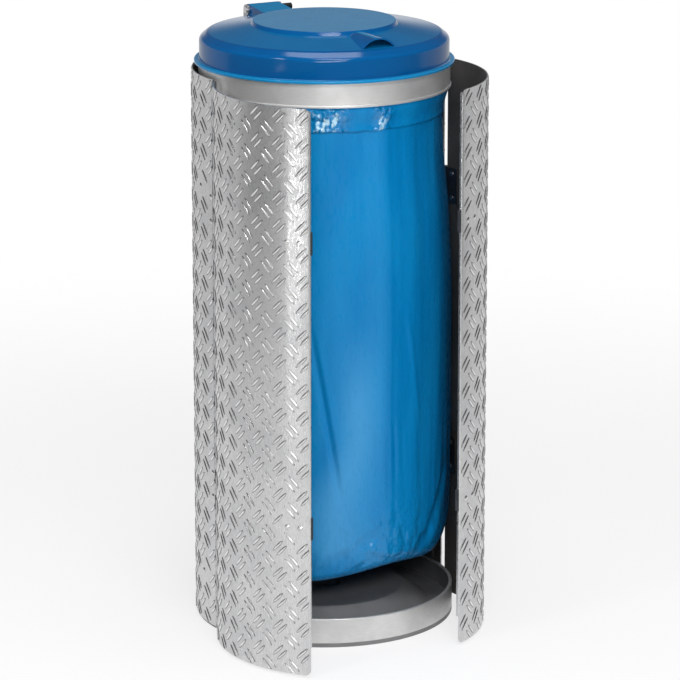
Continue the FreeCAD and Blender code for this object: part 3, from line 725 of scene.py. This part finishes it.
def painted_light_share(kind, value, angle):
    """Nearer to 1 where a paler film colour is painted as light: over the front, reaching further
    left low down, and in a lit band beside the middle fold.
    """
    if kind != "wall":
        return 0.0
    low = fade(value, 0.36, 0.20)
    front = soft_ridge(angle, -12.0 - 12.0 * low, 14.0 + 10.0 * low)
    front *= window(value, 0.115, 0.17, 0.38, 0.56)
    band = window(angle, -13.0, -5.0, 0.2, 1.4)
    return 0.8 * front + 0.06 * soft_ridge(angle, -20.0, 26.0) + 0.12 * band * (1 - front)


def make_sack(material):
    columns, rows = sack_columns(), sack_rows()
    places = [(kind, value, angle) for kind, value in rows for angle in columns]
    points = [film_point("floor", 0.0, 0.0)] + [film_point(*place) for place in places]
    wide = len(columns)
    faces = [(0, 1 + (k + 1) % wide, 1 + k) for k in range(wide)]
    for i in range(len(rows) - 1):
        for k in range(wide):
            a, b = 1 + i * wide + k, 1 + i * wide + (k + 1) % wide
            faces.append((a, b, b + wide, a + wide))
    piece = mesh_piece("sack_film", points, faces, "stand", material)
    note(piece, "bunched", [0.0] + [bunch_share(*place) for place in places])
    note(piece, "painted_light", [0.0] + [painted_light_share(*place) for place in places])
    thicken = piece.modifiers.new("film", "SOLIDIFY")
    thicken.thickness = FILM_THICK
    thicken.offset = 0.0
    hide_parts("waste_sack")


# Plates with tread bars: body, node, rivets to keep off, and where round the body the pattern starts
TREAD = [
    ("stand", "back_panel", ("panel_rivets", "lid_bracket_rivets", "left_frame_leaf_rivets",
                             "right_frame_leaf_rivets"), 0.0),
    ("left_door", "left_door", ("left_door_leaf_rivets", "left_catch_rivets"), -0.013),
    ("right_door", "right_door", ("right_door_leaf_rivets", "right_catch_rivets"), 0.016),
]


# Looks of every piece
def dress():
    paint(make_plate_look("plate_body", SHUT["stand"].translation), "back_panel")
    paint(make_plate_look("plate_left", SHUT["left_door"].translation), "left_door")
    paint(make_plate_look("plate_right", SHUT["right_door"].translation), "right_door")
    band = make_steel_look("satin_band", SATIN_BAND, 0.38, 0.48, (12, 12, 1), metal=0.55)
    paint(band, "clamp_band", "base_band")
    zinc = make_steel_look("zinc_plated", ZINC, 0.30, 0.44, (1, 1, 6))
    paint(zinc, "left_upright", "right_upright", "back_upright", "carrier_ring", "lid_bracket")
    # Leaves and strike plates get a darkened zinc tone as painted shade
    zinc_painted_shade = make_steel_look("zinc_painted_shade", ZINC_PAINTED_SHADE, 0.34, 0.48, (1, 1, 6))
    paint(zinc_painted_shade, *[name for name in nodes if name.endswith(("_leaf", "strike_plate"))])
    fixings = make_steel_look("bright_fixing", BRIGHT_STEEL, 0.20, 0.32, (1, 1, 1))
    fixing_ends = ("rivets", "hinge_pin", "screw", "nut")
    paint(fixings, *[name for name in nodes if name.endswith(fixing_ends)])
    paint(make_pin_look(), "lid_pin")
    paint(make_moulded_look("tray_plastic", TRAY, 0.40, 0.0009, 0.00008), "base_tray")
    catch = make_moulded_look("catch_plastic", CATCH, 0.5, 0.0006, 0.00005)
    paint(catch, "lower_magnet_catch", "upper_magnet_catch")
    paint(make_lid_look(), "lid")
    tread = make_bar_look()
    for body, node, rivet_nodes, s_start in TREAD:
        make_tread_bars(body, node, rivet_nodes, s_start, tread)
    make_sack(make_film_look())


# Studio: white to the camera. In reflections the paper round the object and the backdrop behind it
# are white and the rest of the room is darker. BACKDROP is the way towards the backdrop
BACKDROP = (0.474, 0.881)
ROOM_IN_GLOSS = 0.13
ROOM_LIGHT = 0.2
ROOM_COLOUR = (0.97, 0.985, 1.0)
PAPER_COLOUR = (0.9, 0.9, 0.9)
FLOOR_REACH = 20.0

# Lamps: name, azimuth, height, distance, width, tall, power and the point that the lamp looks at
LAMP_AIM = (0, 0, 0.5)
LAMPS = [
    ("key", -19.0, 2.7, 2.2, 1.3, 0.3, 30.0, LAMP_AIM),
    ("side", -70.0, 2.2, 2.8, 0.5, 0.5, 16.0, LAMP_AIM),
    ("top", -10.0, 3.6, 0.3, 1.6, 1.6, 50.0, LAMP_AIM),
    ("low", -67.0, 0.32, 2.4, 0.3, 0.3, 2.3, LAMP_AIM),
    ("front", -20.0, 1.55, 2.9, 1.3, 0.5, 30.0, (0.05, 0, 0.25)),
]

# Camera at the photograph's angle
CAMERA_AZIMUTH = -28.27
CAMERA_ELEVATION = 14.7
CAMERA_DISTANCE = 6.4125
CAMERA_LENS = 206.1
AIM_HEIGHT = 0.48
AIM_RIGHT = 0.0254
AIM_DOWN = 0.0184


class Studio(Nodes):
    def __init__(self, owner, output):
        super().__init__(owner)
        self.output = self.add(output)
        self.path = self.add("ShaderNodeLightPath").outputs

    def shown(self):
        """1 for rays that should see the white studio, 0 for those that light the object."""
        seen = self.math("MAXIMUM", self.path["Is Camera Ray"], self.path["Is Transmission Ray"])
        return self.math("MAXIMUM", seen, self.path["Is Glossy Ray"])

    def backward(self, x, y):
        """How far a place or a direction lies towards the backdrop."""
        steps = [self.math("MULTIPLY", value, share) for value, share in zip((x, y), BACKDROP)]
        return self.math("ADD", *steps)

    def reflected(self, share):
        """White, but for reflections the room's tone where share falls."""
        dim = self.math("MULTIPLY", self.path["Is Glossy Ray"], self.math("SUBTRACT", 1.0, share))
        return self.math("SUBTRACT", 1.0, self.math("MULTIPLY", dim, 1.0 - ROOM_IN_GLOSS))

    def finish(self, share, first, second):
        mixed = self.add("ShaderNodeMixShader")
        self.feed_all(mixed, (share, first.outputs[0], second.outputs[0]))
        self.feed(self.output.inputs["Surface"], mixed.outputs[0])


def make_floor():
    quarters = ((-1, -1), (1, -1), (1, 1), (-1, 1))
    corners = [(x * FLOOR_REACH, y * FLOOR_REACH, 0) for x, y in quarters]
    mesh = bpy.data.meshes.new("floor")
    mesh.from_pydata(corners, [], [(0, 1, 2, 3)])
    floor = bpy.data.objects.new("floor", mesh)
    bpy.context.scene.collection.objects.link(floor)
    material = bpy.data.materials.new("floor")
    mesh.materials.append(material)
    studio = Studio(material, "ShaderNodeOutputMaterial")
    x, y, z = studio.split(studio.coordinate("Object"))
    squares = [studio.math("MULTIPLY", value, value) for value in (x, y)]
    away = studio.math("SQRT", studio.math("ADD", *squares))
    near = studio.spread(away, 1.4, 3.5, 1.0, 0.08)
    white = studio.math("MAXIMUM", near, studio.spread(studio.backward(x, y), 0.1, 1.2))
    paper = studio.add("ShaderNodeBsdfDiffuse")
    studio.feed(paper.inputs["Color"], PAPER_COLOUR)
    shine = studio.add("ShaderNodeEmission")
    studio.feed(shine.inputs["Strength"], studio.reflected(white))
    # The camera sees most of the shine, and more of it away from the object's shadow
    further = studio.spread(away, 0.5, 2.6, 0.12, 0.4)
    clear = studio.math("MULTIPLY", studio.path["Is Camera Ray"], further)
    glow = studio.math("MULTIPLY", studio.shown(), studio.math("ADD", clear, 0.6))
    studio.finish(glow, paper, shine)


def make_world():
    world = bpy.data.worlds.new("studio")
    bpy.context.scene.world = world
    studio = Studio(world, "ShaderNodeOutputWorld")
    x, y, z = studio.split(studio.coordinate("Generated"))
    low = studio.spread(z, 0.0, 0.24, 1.0, 0.0)
    white = studio.math("MULTIPLY", low, studio.spread(studio.backward(x, y), -0.1, 0.3))
    room = studio.add("ShaderNodeBackground")
    studio.feed(room.inputs["Color"], ROOM_COLOUR)
    studio.feed(room.inputs["Strength"], ROOM_LIGHT)
    shown = studio.add("ShaderNodeBackground")
    studio.feed(shown.inputs["Strength"], studio.reflected(white))
    studio.finish(studio.shown(), room, shown)


def place_and_aim(name, data, place, away):
    """Put a lamp or a camera in the scene with its back towards away."""
    holder = bpy.data.objects.new(name, data)
    bpy.context.scene.collection.objects.link(holder)
    holder.location = place
    holder.rotation_mode = "QUATERNION"
    holder.rotation_quaternion = (-away).to_track_quat("-Z", "Y")
    return holder


def make_lamp(name, azimuth, height, distance, width, tall, power, aim):
    lamp = bpy.data.lights.new(name, "AREA")
    lamp.shape = "RECTANGLE"
    lamp.size = width
    lamp.size_y = tall
    lamp.energy = power
    place = spot(distance, azimuth, height)
    place_and_aim(name, lamp, place, place - Vector(aim))


def make_camera():
    azimuth, elevation = math.radians(CAMERA_AZIMUTH), math.radians(CAMERA_ELEVATION)
    flat = math.cos(elevation)
    back = Vector((math.sin(azimuth) * flat, -math.cos(azimuth) * flat, math.sin(elevation)))
    right = Vector((math.cos(azimuth), math.sin(azimuth), 0.0))
    aim = Vector((0, 0, AIM_HEIGHT)) + right * AIM_RIGHT - back.cross(right) * AIM_DOWN
    camera = bpy.data.cameras.new("camera")
    camera.sensor_width = 36.0
    camera.lens = CAMERA_LENS
    camera.clip_end = 200.0
    bpy.context.scene.camera = place_and_aim("camera", camera, aim + back * CAMERA_DISTANCE, back)


make_camera()
make_floor()
make_world()
for settings in LAMPS:
    make_lamp(*settings)
dress()
bpy.context.scene.view_settings.view_transform = "Standard"
